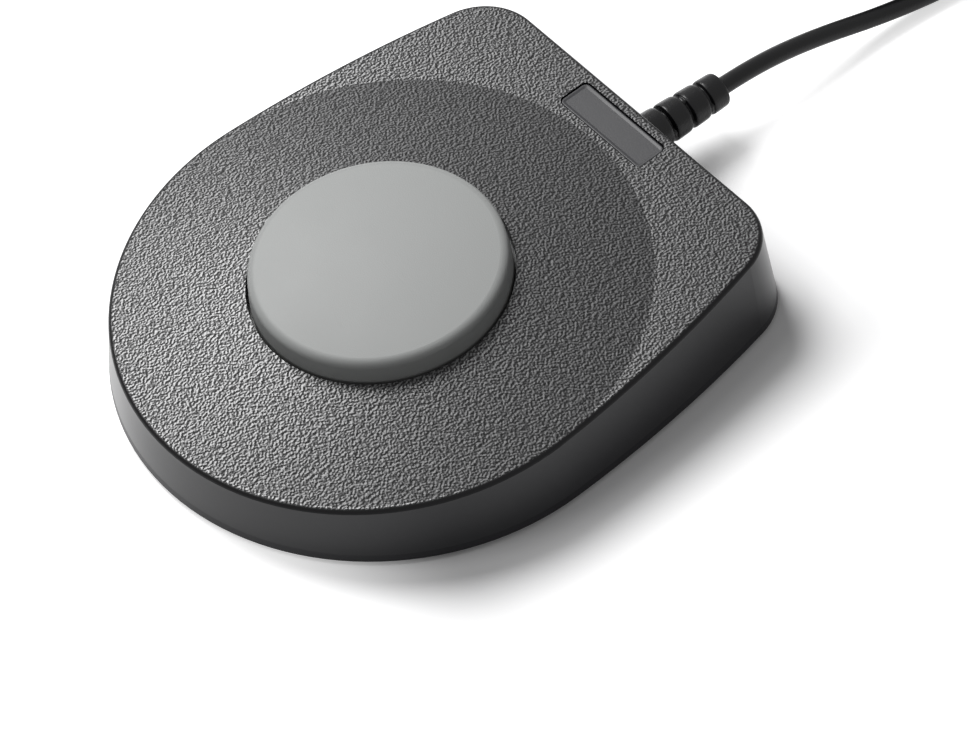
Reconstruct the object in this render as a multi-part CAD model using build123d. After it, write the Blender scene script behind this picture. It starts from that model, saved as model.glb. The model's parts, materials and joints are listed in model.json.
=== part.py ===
from build123d import *
import math
import os

# Foot pedal switch: a low D-shaped case with a round sprung button, on a USB lead.
# Millimetres, +Z up, +Y towards the cable, origin under the middle of the case on the floor.

overrun = 30.0

# Case outline: round front, slightly bowed sides, straight back with rounded corners
case_width = 82.0
case_length = 90.0
press_inset = 49.0
side_bow_radius = 210.0
side_start_angle = 2.3
back_corner_radius = 11.2
wall_draft_angle = 7.3
wall_thickness = 2.0
top_thickness = 2.0
edge_radius = 0.7

# Heights and the tilt of the deck, which rises towards the back
foot_proud = 0.8
rim_thickness = 1.2
cover_thickness = 1.8
deck_height = 12.1
deck_tilt = 3.5
cone_foot_radius = 39.0
cone_rise = 2.4
lip_clearance = 0.15

# Button and its guides, along the tilted axis, heights from the deck
cap_radius = 19.1
cap_gap = 0.45
cap_height = 6.0
cap_crown = 0.6
cap_rim_inset = 0.35
cap_rim_radius = 1.3
cap_wall = 1.7
cap_top_thickness = 1.9
cap_skirt_bottom = -0.65
flange_width = 1.8
flange_thickness = 1.5
press_travel = 2.5
collar_wall = 1.8
collar_bottom = -0.6
key_width = 2.8
key_clearance = 0.2
key_length = 4.6
key_depth = 1.5
key_angles = (45.0, 135.0)
sleeve_radius = 4.0
sleeve_bottom = -3.0
sleeve_end_clearance = 0.3
guide_pin_radius = 2.5
guide_pin_top = 0.8
guide_clearance = 0.08
stiffener_width = 1.2
stiffener_depth = 1.5
stiffener_count = 6
stiffener_left_out = 90.0
stop_pad_radius = 2.2
stop_pad_thickness = 1.0
stop_pad_clearance = 0.1
stop_pad_angles = (0.0, 180.0, 270.0)

# Return spring
spring_wire_radius = 0.4
spring_radius = 5.2
spring_turns = 6
spring_seat_height = -8.6
spring_seat_margin = 1.0

# Case screws, under the four rubber feet
foot_radius = 5.0
foot_recess_depth = 0.8
foot_clearance = 0.2
foot_edge_radius = 0.5
front_screw_inset_x = 19.0
front_screw_inset_y = 19.0
back_screw_inset_x = 14.0
back_screw_inset_y = 10.0
screw_radius = 1.3
screw_length = 5.0
screw_head_radius = 2.5
screw_head_height = 1.5
screw_head_clearance = 0.3
screw_hole_clearance = 0.15
screw_thread_clearance = 0.04
screw_tip_clearance = 0.4
cover_boss_radius = 4.4
cover_boss_web = 1.6
case_boss_radius = 3.25
drive_slot_share = 0.24

# Name plate, left bare, in a recess near the back edge
plate_length = 18.4
plate_width = 5.5
plate_inset = 6.15
plate_recess_depth = 0.8
plate_thickness = 0.5
plate_clearance = 0.15
plate_corner_radius = 1.0

# Circuit board
board_width = 44.0
board_length = 22.3
board_spring_gap = 0.6
board_thickness = 1.2
board_corner_radius = 2.0
board_post_height = 1.8
board_post_radius = 2.2
board_screw_inset_x = 2.0
board_screw_inset_y = 2.2
board_screw_radius = 1.0
board_screw_length = 3.2
board_screw_head_radius = 1.8
board_screw_head_height = 1.1

# Snap-action switch, its lever and its plunger
switch_length = 12.8
switch_width = 5.8
switch_height = 6.5
switch_inset = 5.3
hinge_x = -5.2
hinge_rise = 0.8
hinge_pin_radius = 0.3
hinge_barrel_radius = 0.65
hinge_clearance = 0.06
hinge_lug_width = 0.7
lever_length = 13.0
lever_width = 3.6
lever_thickness = 0.3
finger_x = 5.0
finger_radius = 1.2
finger_width = 3.0
finger_gap = 0.2
plunger_x = -1.7
plunger_length = 1.3
plunger_width = 2.6
plunger_depth = 3.4
plunger_gap = 0.1
plunger_clearance = 0.06
plunger_end_clearance = 0.2
terminal_pitch = 5.08
terminal_width = 0.8
terminal_thickness = 0.5
terminal_drop = 0.8
terminal_clearance = 0.15

# Parts on the board
chip_place_shares = (-0.295, 0.62)
chip_length = 10.0
chip_width = 4.0
chip_height = 1.5
chip_standoff = 0.1
chip_lead_pitch = 1.27
chip_lead_width = 0.4
chip_lead_thickness = 0.2
chip_lead_reach = 1.0
chip_lead_shoulder = 0.4
chip_lead_height = 0.85
chip_leads_per_side = 8
crystal_place_shares = (0.277, 0.776)
crystal_length = 11.4
crystal_width = 4.7
crystal_height = 3.6
crystal_base_height = 0.6
capacitor_place_shares = (0.318, 0.53)
capacitor_radius = 2.0
capacitor_height = 5.4
capacitor_base_height = 0.5
ceramic_size = (2.0, 1.25, 0.9)
ceramic_place_shares = ((-0.11, 0.55), (0.16, 0.55), (0.40, 0.33), (-0.43, 0.40))
resistor_size = (1.6, 0.8, 0.45)
resistor_place_shares = (
    (-0.30, 0.36),
    (-0.22, 0.36),
    (0.22, 0.36),
    (0.30, 0.36),
    (-0.16, 0.82),
    (0.16, 0.62),
)

# Wire connector
header_length = 9.9
header_depth = 7.5
header_height = 4.6
header_wall = 0.7
header_back_wall = 1.5
header_inset = 7.9
pin_count = 4
pin_pitch = 2.0
pin_size = 0.64
pin_clearance = 0.08
pin_tip_inset = 1.6
pin_drop = 0.8
connector_clearance = 0.12
connector_proud = 1.2
wire_radius = 0.45
wire_spread = 0.55
wire_bend_radius = 0.9
wire_straight = 1.2
wire_hole_depth = 1.2

# Cable, its clamp and its strain relief
cable_radius = 1.4
cable_height = 7.7
cable_clearance = 0.05
cable_end_proud = 0.9
clamp_inset = 9.5
clamp_width = 4.0
clamp_length = 15.0
clamp_split_drop = 0.1
clamp_thickness = 2.4
clamp_screw_x = 5.2
clamp_screw_radius = 1.0
clamp_screw_length = 6.0
clamp_screw_head_radius = 1.9
clamp_screw_head_height = 1.1
relief_reach = 15.0
relief_root_radius = 3.3
relief_tip_radius = 2.75
relief_core_share = 0.72
relief_ring_count = 5
relief_slot_share = 0.3
relief_web_width = 1.6
relief_neck_radius = 3.0
relief_neck_clearance = 0.1
relief_flange_radius = 4.3
relief_flange_thickness = 1.5
relief_wall_gap = 0.25

# Free lead, as steps from the end of the strain relief down to the start of the coil
lead_steps = ((0.0, 6.0, 0.0), (0.2, 11.0, -2.0), (1.4, 14.0, -3.3), (1.8, 14.0, -0.98), (0.0, 13.0, 0.0))
bend_share = 0.45
samples_per_edge = 8

# Put-away coil: turns that spiral in and out in layers
coil_outer_radius = 22.9
coil_pitch = 3.3
coil_half_turns_per_layer = 7
coil_layers = 4

# Tail from the coil down to the plug, as steps from the end of the coil
tail_steps = ((0.0, 9.0, 0.0), (0.0, 11.0, -2.8), (0.0, 11.0, -4.5), (0.0, 9.0, 0.0))

# Plug
plug_width = 15.6
plug_height = 8.0
plug_length = 26.0
plug_corner_radius = 2.2
plug_relief_length = 8.0
plug_relief_radius = 2.6
plug_relief_tip_radius = 2.0
shell_width = 12.0
shell_height = 4.5
shell_length = 18.7
shell_wall = 0.3
shell_corner_radius = 0.6
shell_socket_depth = 4.0
shell_clearance = 0.05
shell_window = 2.4
shell_window_offset = 3.0
shell_window_from_tip = 5.2
tongue_width = 11.1
tongue_thickness = 1.9
tongue_tip_inset = 0.8
tongue_block_length = 6.0
contact_pitch = 2.3
contact_width = 1.0
contact_thickness = 0.15
contact_length = 8.5

# Derived places
front_radius = case_width / 2
front_centre_y = front_radius - case_length / 2
back_y = case_length / 2
press_y = back_y - press_inset
draft_rate = math.tan(math.radians(wall_draft_angle))
seam_height = foot_proud + rim_thickness
cover_top = foot_proud + cover_thickness
tilt_sine = math.sin(math.radians(deck_tilt))
tilt_cosine = math.cos(math.radians(deck_tilt))
press_plane = Plane(origin=(0, press_y, deck_height), x_dir=(1, 0, 0), z_dir=(0, -tilt_sine, tilt_cosine))
hole_radius = cap_radius + cap_gap
flange_radius = cap_radius + flange_width
flange_bottom = cap_skirt_bottom - flange_thickness
cap_ceiling = cap_height + cap_crown - cap_top_thickness
foot_top = foot_proud + foot_recess_depth
screw_seat = foot_top + screw_head_height + screw_head_clearance
boss_split = screw_seat + cover_boss_web
board_front_y = press_y + spring_radius + spring_wire_radius + spring_seat_margin + board_spring_gap
board_back_y = board_front_y + board_length
board_bottom = cover_top + board_post_height
board_top = board_bottom + board_thickness
switch_y = press_y + cap_radius - cap_wall - switch_inset
switch_top = board_top + switch_height
hinge_z = switch_top + hinge_rise
stop_post_top = flange_bottom - press_travel - stop_pad_clearance - stop_pad_thickness
stop_radius = (cap_radius - cap_wall + flange_radius) / 2
stop_places = [
    (stop_radius * math.cos(math.radians(angle)), stop_radius * math.sin(math.radians(angle)))
    for angle in stop_pad_angles
]
clamp_y = back_y - clamp_inset
clamp_top = cable_height - clamp_split_drop + clamp_thickness
cable_end_y = clamp_y - clamp_width / 2 - cable_end_proud
relief_end_y = back_y + relief_reach
header_front_y = board_back_y - header_inset
pin_leg_y = header_front_y - pin_size
terminal_places = (-terminal_pitch, 0, terminal_pitch)
finger_arm = finger_x - hinge_x
plunger_arm = plunger_x - hinge_x
lever_angle = math.degrees(math.atan(press_travel * tilt_cosine / finger_arm))
lever_rise = math.tan(math.radians(lever_angle))
plunger_travel = plunger_arm * lever_rise
plunger_top = hinge_z - lever_thickness / 2 + plunger_travel - plunger_gap
finger_y = (switch_y - press_y) / tilt_cosine
finger_rest = hinge_z + lever_thickness / 2 + finger_gap + press_travel * tilt_cosine
finger_tip = (finger_rest - deck_height - finger_y * tilt_sine) / tilt_cosine
pin_height = board_top + header_height / 2
front_screw_x = front_radius - front_screw_inset_x
front_screw_y = front_screw_inset_y - case_length / 2
back_screw_x = case_width / 2 - back_screw_inset_x
back_screw_y = back_y - back_screw_inset_y
case_screw_places = (
    (-front_screw_x, front_screw_y),
    (front_screw_x, front_screw_y),
    (-back_screw_x, back_screw_y),
    (back_screw_x, back_screw_y),
)
board_screw_places = [
    (side * (board_width / 2 - board_screw_inset_x), y)
    for side in (-1, 1)
    for y in (board_front_y + board_screw_inset_y, board_back_y - board_screw_inset_y)
]
pin_places = [(index - (pin_count - 1) / 2) * pin_pitch for index in range(pin_count)]


def block(low, high):
    """A box from its low corner to its high corner."""
    size = [top - bottom for bottom, top in zip(low, high)]
    return Pos(*low) * Box(*size, align=(Align.MIN, Align.MIN, Align.MIN))


def upright(radius, bottom, top, x=0.0, y=0.0):
    """A cylinder along Z between two heights."""
    return Pos(x, y, bottom) * Cylinder(radius, top - bottom, align=(Align.CENTER, Align.CENTER, Align.MIN))


def along_press(radius, bottom, top, x=0.0, y=0.0):
    """A cylinder along the tilted press axis, its heights measured from the deck."""
    return press_plane * upright(radius, bottom, top, x, y)


def along_cable(radius, start, end, height=cable_height, x=0.0):
    """A cylinder along Y between two distances."""
    plane = Plane(origin=(x, start, height), x_dir=(1, 0, 0), z_dir=(0, 1, 0))
    return plane * Cylinder(radius, end - start, align=(Align.CENTER, Align.CENTER, Align.MIN))


def revolved(points, plane):
    """A closed profile of (radius, height) points turned about the plane's Z axis."""
    profile = Plane.XZ * make_face(Polyline(*points, close=True))
    return plane * revolve(profile, Axis.Z)


def case_outline(inset, height):
    """The case outline as a face, moved inwards by an inset."""
    start = math.radians(side_start_angle)
    front = front_radius - inset
    bow = side_bow_radius - inset
    corner = back_corner_radius - inset
    bow_x = (front_radius - side_bow_radius) * math.cos(start)
    bow_y = front_centre_y + (front_radius - side_bow_radius) * math.sin(start)
    corner_y = back_y - back_corner_radius
    span = side_bow_radius - back_corner_radius
    corner_x = bow_x + math.sqrt(span**2 - (corner_y - bow_y) ** 2)
    turn = math.atan2(corner_y - bow_y, corner_x - bow_x)
    front_end = (front * math.cos(start), front_centre_y + front * math.sin(start))
    bow_mid_angle = (start + turn) / 2
    bow_mid = (bow_x + bow * math.cos(bow_mid_angle), bow_y + bow * math.sin(bow_mid_angle))
    bow_end = (bow_x + bow * math.cos(turn), bow_y + bow * math.sin(turn))
    corner_mid_angle = (turn + math.pi / 2) / 2
    corner_mid = (
        corner_x + corner * math.cos(corner_mid_angle),
        corner_y + corner * math.sin(corner_mid_angle),
    )
    corner_end = (corner_x, corner_y + corner)

    def other(point):
        return (-point[0], point[1])

    edges = [
        ThreePointArc(other(front_end), (0, front_centre_y - front), front_end),
        ThreePointArc(front_end, bow_mid, bow_end),
        ThreePointArc(bow_end, corner_mid, corner_end),
        Line(corner_end, other(corner_end)),
        ThreePointArc(other(corner_end), other(corner_mid), other(bow_end)),
        ThreePointArc(other(bow_end), other(bow_mid), other(front_end)),
    ]
    return Pos(0, 0, height) * make_face(edges)


def case_form(inset, drop, bottom, rounded=False):
    """The drafted case, inset from its side and top, down to a height."""
    lift = bottom - foot_proud
    top = deck_height + cone_rise + overrun / 10
    prism = extrude(case_outline(inset + lift * draft_rate, bottom), top - bottom, taper=wall_draft_angle)
    slab_size = case_length + overrun
    slab = press_plane * Box(slab_size, slab_size, overrun, align=(Align.CENTER, Align.CENTER, Align.MAX))
    low_form = prism & (Pos(0, 0, -drop) * slab)
    if rounded:
        rim = low_form.faces().sort_by(Axis(press_plane.origin, press_plane.z_dir))[-1].outer_wire().edges()
        low_form = fillet(rim, edge_radius)
    cone_top = cone_rise - drop
    cone = revolved(
        ((0, -drop), (0, cone_top), (hole_radius - inset, cone_top), (cone_foot_radius - inset, -drop)),
        press_plane,
    )
    return low_form + (cone & prism)


def tube_on(path, radius, start_direction):
    """A round tube swept along a path."""
    wire = Wire(path)
    section = Plane(origin=wire @ 0, z_dir=start_direction) * Circle(radius)
    return sweep(section, path=wire)


def biarc(start, start_way, end, end_way):
    """Two tangent arcs from one point and direction to another."""
    gap = end - start
    a = 2 * (1 - start_way.dot(end_way))
    b = 2 * gap.dot(start_way + end_way)
    reach = (math.sqrt(b * b + 4 * a * gap.dot(gap)) - b) / (2 * a)
    first = start + start_way * reach
    last = end - end_way * reach
    joint = (first + last) * 0.5
    joint_way = (last - first).normalized()
    return [TangentArc(start, joint, tangent=start_way), TangentArc(joint, end, tangent=joint_way)]


def biarc_chain(points, ways):
    """Biarcs through a list of points and directions."""
    edges = []
    for index in range(len(points) - 1):
        edges += biarc(points[index], ways[index], points[index + 1], ways[index + 1])
    return edges


def self_gap(edges, radius, turn_length, name):
    """Print the least gap between a wound tube's turns, measured on points of its line."""
    samples = []
    travelled = 0.0
    for edge in edges:
        for step in range(samples_per_edge):
            share = step / samples_per_edge
            samples.append((travelled + edge.length * share, edge @ share))
        travelled += edge.length
    least = min(
        (point - other).length
        for index, (place, point) in enumerate(samples)
        for other_place, other in samples[index + 1 :]
        if other_place - place > turn_length
    )
    print(name, "length", round(travelled, 1), "least gap to itself", round(least - 2 * radius, 3))


def routed_tube(points, radius, name):
    """A tube along straight runs joined by tangent arcs, each as large as its runs allow."""
    runs = [after - before for before, after in zip(points, points[1:])]
    radii = []
    for before, after in zip(runs, runs[1:]):
        half_turn = math.radians(before.get_angle(after)) / 2
        radii.append(bend_share * min(before.length, after.length) / math.tan(half_turn))
    path = FilletPolyline(*points, radius=radii)
    tube = tube_on(path.edges(), radius, runs[0])
    length = sum(edge.length for edge in path.edges())
    ratio = tube.volume / (math.pi * radius**2 * length)
    print(name, "length", round(length, 1), "volume ratio", round(ratio, 4))
    print(name, "bend radii", [round(bend, 1) for bend in radii])
    return tube


def screw(radius, length, head_radius, head_height):
    """A pan-head screw pointing down, its head resting on height zero."""
    body = upright(head_radius, 0, head_height) + upright(radius, -length, 0)
    body = fillet(body.edges().group_by(Axis.Z)[-1], head_height * drive_slot_share)
    arm = head_radius * drive_slot_share
    for turn in (0, 90):
        slot = Box(head_radius, arm, head_height)
        body -= Pos(0, 0, head_height) * Rot(0, 0, turn) * slot
    return body


def guide_keys(clearance, bottom, top):
    """The two upright keys beside the button's hole."""
    keys = []
    inner = cap_radius + flange_width / 2
    for angle in key_angles:
        outer = inner + key_depth + clearance
        bar = block(
            (inner - clearance, -key_width / 2 - clearance, bottom),
            (outer, key_width / 2 + clearance, top),
        )
        keys.append(press_plane * Rot(0, 0, angle) * bar)
    return keys


def cable_slot(clearance, bottom):
    """The open slot in the back wall for the neck of the strain relief."""
    reach = relief_neck_radius + clearance
    near = back_y - overrun / 2
    far = back_y + overrun / 2
    return along_cable(reach, near, far) + block((-reach, near, bottom), (reach, far, cable_height))


def make_top_housing():
    housing = case_form(0, 0, seam_height, rounded=True)
    housing -= case_form(wall_thickness, top_thickness, seam_height - rim_thickness)
    housing += along_press(hole_radius + collar_wall, collar_bottom, cone_rise - top_thickness / 2)
    fill = case_form(wall_thickness / 2, top_thickness / 2, boss_split)
    for place in case_screw_places:
        housing += upright(case_boss_radius, boss_split, overrun, *place) & fill
    for key in guide_keys(0, collar_bottom - key_length, 0):
        housing += key
    housing -= along_press(hole_radius, collar_bottom, overrun)
    for place in case_screw_places:
        tip = screw_seat + screw_length + screw_tip_clearance
        housing -= upright(screw_radius + screw_thread_clearance, 0, tip, *place)
    recess = extrude(RectangleRounded(plate_length, plate_width, plate_corner_radius), 2 * plate_recess_depth)
    housing -= press_plane * Pos(0, press_inset - plate_inset, -plate_recess_depth) * recess
    housing -= cable_slot(relief_neck_clearance, 0)
    return housing


def make_bottom_cover():
    rim = extrude(case_outline(0, foot_proud), rim_thickness, taper=wall_draft_angle)
    lip_inset = wall_thickness + cover_thickness * draft_rate + lip_clearance
    cover = rim + extrude(case_outline(lip_inset, seam_height), cover_top - seam_height)
    gate = case_form(0, 0, foot_proud) - case_form(wall_thickness, top_thickness, 0)
    cover += gate & cable_slot(relief_neck_clearance - lip_clearance, foot_proud)
    root = (cover_top - deck_height) / tilt_cosine - cover_thickness / 2
    seat_radius = spring_radius + spring_wire_radius + spring_seat_margin
    cover += along_press(seat_radius, root, spring_seat_height)
    cover += along_press(guide_pin_radius, root, guide_pin_top)
    for place in stop_places:
        cover += along_press(stop_pad_radius, root, stop_post_top, *place)
    for place in case_screw_places:
        cover += upright(cover_boss_radius, seam_height, boss_split, *place)
    for place in board_screw_places:
        cover += upright(board_post_radius, seam_height, board_bottom, *place)
    cradle_top = cable_height - clamp_split_drop
    cover += block(
        (-clamp_length / 2, clamp_y - clamp_width / 2, seam_height),
        (clamp_length / 2, clamp_y + clamp_width / 2, cradle_top),
    )
    cover -= along_cable(cable_radius + cable_clearance, cable_end_y, clamp_y + clamp_width)
    cover -= along_cable(relief_neck_radius + relief_neck_clearance, clamp_y + clamp_width, back_y + overrun)
    for place in case_screw_places:
        cover -= upright(foot_radius + foot_clearance, 0, foot_top, *place)
        cover -= upright(screw_head_radius + screw_head_clearance, 0, screw_seat, *place)
        cover -= upright(screw_radius + screw_hole_clearance, 0, overrun, *place)
    board_screw_tip = board_top - board_screw_length - screw_thread_clearance
    for place in board_screw_places:
        cover -= upright(board_screw_radius + screw_thread_clearance, board_screw_tip, overrun, *place)
    clamp_screw_tip = clamp_top - clamp_screw_length - screw_thread_clearance
    for side in (-1, 1):
        cover -= upright(
            clamp_screw_radius + screw_thread_clearance,
            clamp_screw_tip,
            overrun,
            side * clamp_screw_x,
            clamp_y,
        )
    return cover


def make_pedal_cap():
    inner_radius = cap_radius - cap_wall
    top_radius = cap_radius - cap_rim_inset
    side = Polyline(
        (0, cap_ceiling),
        (inner_radius, cap_ceiling),
        (inner_radius, flange_bottom),
        (flange_radius, flange_bottom),
        (flange_radius, cap_skirt_bottom),
        (cap_radius, cap_skirt_bottom),
        (cap_radius, cone_rise),
        (top_radius, cap_height),
    )
    crown_height = cap_height + cap_crown
    crown = ThreePointArc(
        (top_radius, cap_height),
        (top_radius / 2, cap_height + cap_crown * 3 / 4),
        (0, crown_height),
    )
    axis_line = Line((0, crown_height), (0, cap_ceiling))
    profile = Plane.XZ * make_face([*side.edges(), crown, axis_line])
    cap = revolve(profile, Axis.Z)
    rims = cap.edges().filter_by(lambda edge: edge.is_closed)
    cap = fillet(rims.sort_by(Axis.Z)[-1], cap_rim_radius)
    cap += upright(sleeve_radius, sleeve_bottom, cap_ceiling + cap_top_thickness / 2)
    bore_top = guide_pin_top + press_travel + sleeve_end_clearance
    cap -= upright(guide_pin_radius + guide_clearance, sleeve_bottom, bore_top)
    inner_end = spring_radius + spring_wire_radius + spring_seat_margin
    for index in range(stiffener_count):
        angle = stiffener_left_out + index * 360 / stiffener_count
        bar = block(
            (inner_end, -stiffener_width / 2, cap_ceiling - stiffener_depth),
            (cap_radius - cap_wall / 2, stiffener_width / 2, cap_ceiling + cap_top_thickness / 2),
        )
        if index > 0:
            cap += Rot(0, 0, angle) * bar
    finger = block(
        (finger_x - finger_radius, finger_y - finger_width / 2, finger_tip + finger_radius),
        (finger_x + finger_radius, finger_y + finger_width / 2, cap_ceiling + cap_top_thickness / 2),
    )
    nose = Rot(90, 0, 0) * Cylinder(finger_radius, finger_width)
    cap += finger + Pos(finger_x, finger_y, finger_tip + finger_radius) * nose
    cap = press_plane * cap
    for key in guide_keys(key_clearance, flange_bottom - overrun, overrun / 10):
        cap -= key & along_press(overrun, flange_bottom - overrun, cap_skirt_bottom)
    return cap


def make_return_spring():
    low = spring_seat_height + spring_wire_radius
    high = cap_ceiling - spring_wire_radius
    half_turns = 2 * spring_turns
    climb = (high - low) / half_turns
    points = []
    ways = []
    for index in range(half_turns + 1):
        side = 1 if index % 2 == 0 else -1
        points.append(Vector(side * spring_radius, 0, low + index * climb))
        ways.append(Vector(0, side * math.pi * spring_radius, climb).normalized())
    edges = biarc_chain(points, ways)
    self_gap(edges, spring_wire_radius, math.pi * spring_radius, "return_spring")
    return press_plane * tube_on(edges, spring_wire_radius, ways[0])


def make_stop_pads():
    pads = {}
    for index, place in enumerate(stop_places):
        pad_top = stop_post_top + stop_pad_thickness
        pads[f"stop_pad_{index + 1}"] = along_press(stop_pad_radius, stop_post_top, pad_top, *place)
    return pads


def make_name_plate():
    length = plate_length - 2 * plate_clearance
    width = plate_width - 2 * plate_clearance
    plate = extrude(RectangleRounded(length, width, plate_corner_radius - plate_clearance), plate_thickness)
    return press_plane * Pos(0, press_inset - plate_inset, -plate_recess_depth) * plate


def make_case_screws():
    one = Rot(180, 0, 0) * screw(screw_radius, screw_length, screw_head_radius, screw_head_height)
    return Compound(children=[Pos(x, y, screw_seat) * one for x, y in case_screw_places])


def make_rubber_feet():
    feet = {}
    for index, (x, y) in enumerate(case_screw_places):
        foot = upright(foot_radius, 0, foot_top, x, y)
        foot = fillet(foot.edges().group_by(Axis.Z)[0], foot_edge_radius)
        feet[f"rubber_foot_{index + 1}"] = foot
    return feet


def make_circuit_board():
    sheet = RectangleRounded(board_width, board_length, board_corner_radius)
    board = Pos(0, board_front_y + board_length / 2, board_bottom) * extrude(sheet, board_thickness)
    for place in board_screw_places:
        board -= upright(board_screw_radius + screw_hole_clearance, 0, overrun, *place)
    for x in terminal_places:
        slot = Box(
            terminal_width + 2 * terminal_clearance,
            terminal_thickness + 2 * terminal_clearance,
            overrun,
        )
        board -= Pos(x, switch_y, board_bottom) * slot
    for x in pin_places:
        hole = Box(pin_size + 2 * terminal_clearance, pin_size + 2 * terminal_clearance, overrun)
        board -= Pos(x, pin_leg_y, board_bottom) * hole
    return board


def make_board_screws():
    one = screw(board_screw_radius, board_screw_length, board_screw_head_radius, board_screw_head_height)
    return Compound(children=[Pos(x, y, board_top) * one for x, y in board_screw_places])


def make_switch():
    body = Pos(0, switch_y, board_top) * Box(
        switch_length, switch_width, switch_height, align=(Align.CENTER, Align.CENTER, Align.MIN)
    )
    lug_inner = lever_width / 2 + hinge_clearance
    lug_outer = lug_inner + hinge_lug_width
    for side in (-1, 1):
        near, far = sorted((side * lug_inner, side * lug_outer))
        body += block(
            (hinge_x - hinge_barrel_radius, switch_y + near, switch_top - hinge_rise),
            (hinge_x + hinge_barrel_radius, switch_y + far, hinge_z + hinge_barrel_radius),
        )
    body += along_cable(hinge_pin_radius, switch_y - lug_outer, switch_y + lug_outer, hinge_z, hinge_x)
    well_depth = plunger_depth + plunger_travel + plunger_end_clearance
    well = Box(
        plunger_length + 2 * plunger_clearance,
        plunger_width + 2 * plunger_clearance,
        well_depth,
        align=(Align.CENTER, Align.CENTER, Align.MAX),
    )
    body -= Pos(plunger_x, switch_y, plunger_top) * well
    nose_radius = plunger_length / 2
    stem = Box(
        plunger_length,
        plunger_width,
        plunger_depth - nose_radius,
        align=(Align.CENTER, Align.CENTER, Align.MAX),
    )
    nose = Rot(90, 0, 0) * Cylinder(nose_radius, plunger_width)
    plunger = Pos(plunger_x, switch_y, plunger_top - nose_radius) * (stem + nose)
    strip = block(
        (0, -lever_width / 2, -lever_thickness / 2),
        (lever_length, lever_width / 2, lever_thickness / 2),
    )
    barrel = Rot(90, 0, 0) * Cylinder(hinge_barrel_radius, lever_width)
    bore = Rot(90, 0, 0) * Cylinder(hinge_pin_radius + hinge_clearance, 2 * lever_width)
    lever = Pos(hinge_x, switch_y, hinge_z) * Rot(0, -lever_angle, 0) * (strip + barrel - bore)
    terminals = [
        block(
            (x - terminal_width / 2, switch_y - terminal_thickness / 2, board_bottom - terminal_drop),
            (x + terminal_width / 2, switch_y + terminal_thickness / 2, board_top),
        )
        for x in terminal_places
    ]
    return {
        "switch_body": body,
        "switch_plunger": plunger,
        "switch_lever": lever,
        "switch_terminals": Compound(children=terminals),
    }


def on_board(across, along):
    """The place on top of the board at shares of its width and length."""
    return Pos(across * board_width, board_front_y + along * board_length, board_top)


def make_controller_chip():
    middle = on_board(*chip_place_shares)
    body = middle * Pos(0, 0, chip_standoff) * Box(
        chip_length, chip_width, chip_height, align=(Align.CENTER, Align.CENTER, Align.MIN)
    )
    shoulder_low = chip_lead_height - chip_lead_thickness
    half = chip_lead_width / 2
    near = chip_lead_shoulder - chip_lead_thickness
    lead = block((-half, 0, shoulder_low), (half, chip_lead_shoulder, chip_lead_height))
    lead += block((-half, near, 0), (half, chip_lead_shoulder, chip_lead_height))
    lead += block((-half, near, 0), (half, chip_lead_reach, chip_lead_thickness))
    leads = []
    for turn in (0, 180):
        for index in range(chip_leads_per_side):
            x = (index - (chip_leads_per_side - 1) / 2) * chip_lead_pitch
            leads.append(middle * Rot(0, 0, turn) * Pos(x, chip_width / 2, 0) * lead)
    return {"controller_chip": body, "chip_leads": Compound(children=leads)}


def make_crystal():
    base = extrude(Rectangle(crystal_length, crystal_width), crystal_base_height)
    can_length = crystal_length - crystal_base_height
    can_width = crystal_width - crystal_base_height
    can = extrude(SlotOverall(can_length, can_width), crystal_height)
    return on_board(*crystal_place_shares) * (base + can)


def make_capacitor():
    base = extrude(Rectangle(2 * capacitor_radius, 2 * capacitor_radius), capacitor_base_height)
    can = extrude(Circle(capacitor_radius), capacitor_height)
    return on_board(*capacitor_place_shares) * (base + can)


def board_chips(size, shares):
    """Small surface parts at shares of the board's width and length."""
    one = Box(*size, align=(Align.CENTER, Align.CENTER, Align.MIN))
    return Compound(children=[on_board(*place) * one for place in shares])


def make_connector():
    half = header_length / 2
    header_top = board_top + header_height
    header_back_y = header_front_y + header_depth
    cavity_front = header_front_y + header_back_wall
    header = block((-half, header_front_y, board_top), (half, header_back_y, header_top))
    header -= block(
        (-half + header_wall, cavity_front, board_top + header_wall),
        (half - header_wall, header_back_y + overrun, header_top - header_wall),
    )
    inset = header_wall + connector_clearance
    plug_back_y = header_back_y + connector_proud
    plug = block(
        (-half + inset, cavity_front + connector_clearance, board_top + inset),
        (half - inset, plug_back_y, header_top - inset),
    )
    pins = []
    pin_tip_y = header_back_y - pin_tip_inset
    for x in pin_places:
        flat = block(
            (x - pin_size / 2, pin_leg_y - pin_size / 2, pin_height - pin_size / 2),
            (x + pin_size / 2, pin_tip_y, pin_height + pin_size / 2),
        )
        leg = block(
            (x - pin_size / 2, pin_leg_y - pin_size / 2, board_bottom - pin_drop),
            (x + pin_size / 2, pin_leg_y + pin_size / 2, pin_height),
        )
        pins.append(flat + leg)
        reach = pin_size / 2 + pin_clearance
        tunnel = block(
            (x - reach, header_front_y - overrun, pin_height - reach),
            (x + reach, pin_tip_y + pin_clearance, pin_height + reach),
        )
        header -= tunnel
        plug -= tunnel
        plug -= along_cable(
            wire_radius + cable_clearance, plug_back_y - wire_hole_depth, plug_back_y, pin_height, x
        )
    parts = {"board_header": header, "header_pins": Compound(children=pins), "wire_plug": plug}
    starts = ((-1, 1), (-1, -1), (1, -1), (1, 1))
    for colour, x, (side, level) in zip(("red", "white", "green", "black"), pin_places, starts):
        start_x = side * wire_spread
        start_z = cable_height + level * wire_spread
        path = FilletPolyline(
            (start_x, cable_end_y, start_z),
            (start_x, cable_end_y - wire_straight, start_z),
            (x, plug_back_y + wire_straight, pin_height),
            (x, plug_back_y - wire_hole_depth + cable_clearance, pin_height),
            radius=wire_bend_radius,
        )
        parts[f"wire_{colour}"] = tube_on(path.edges(), wire_radius, Vector(0, -1, 0))
    return parts


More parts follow.
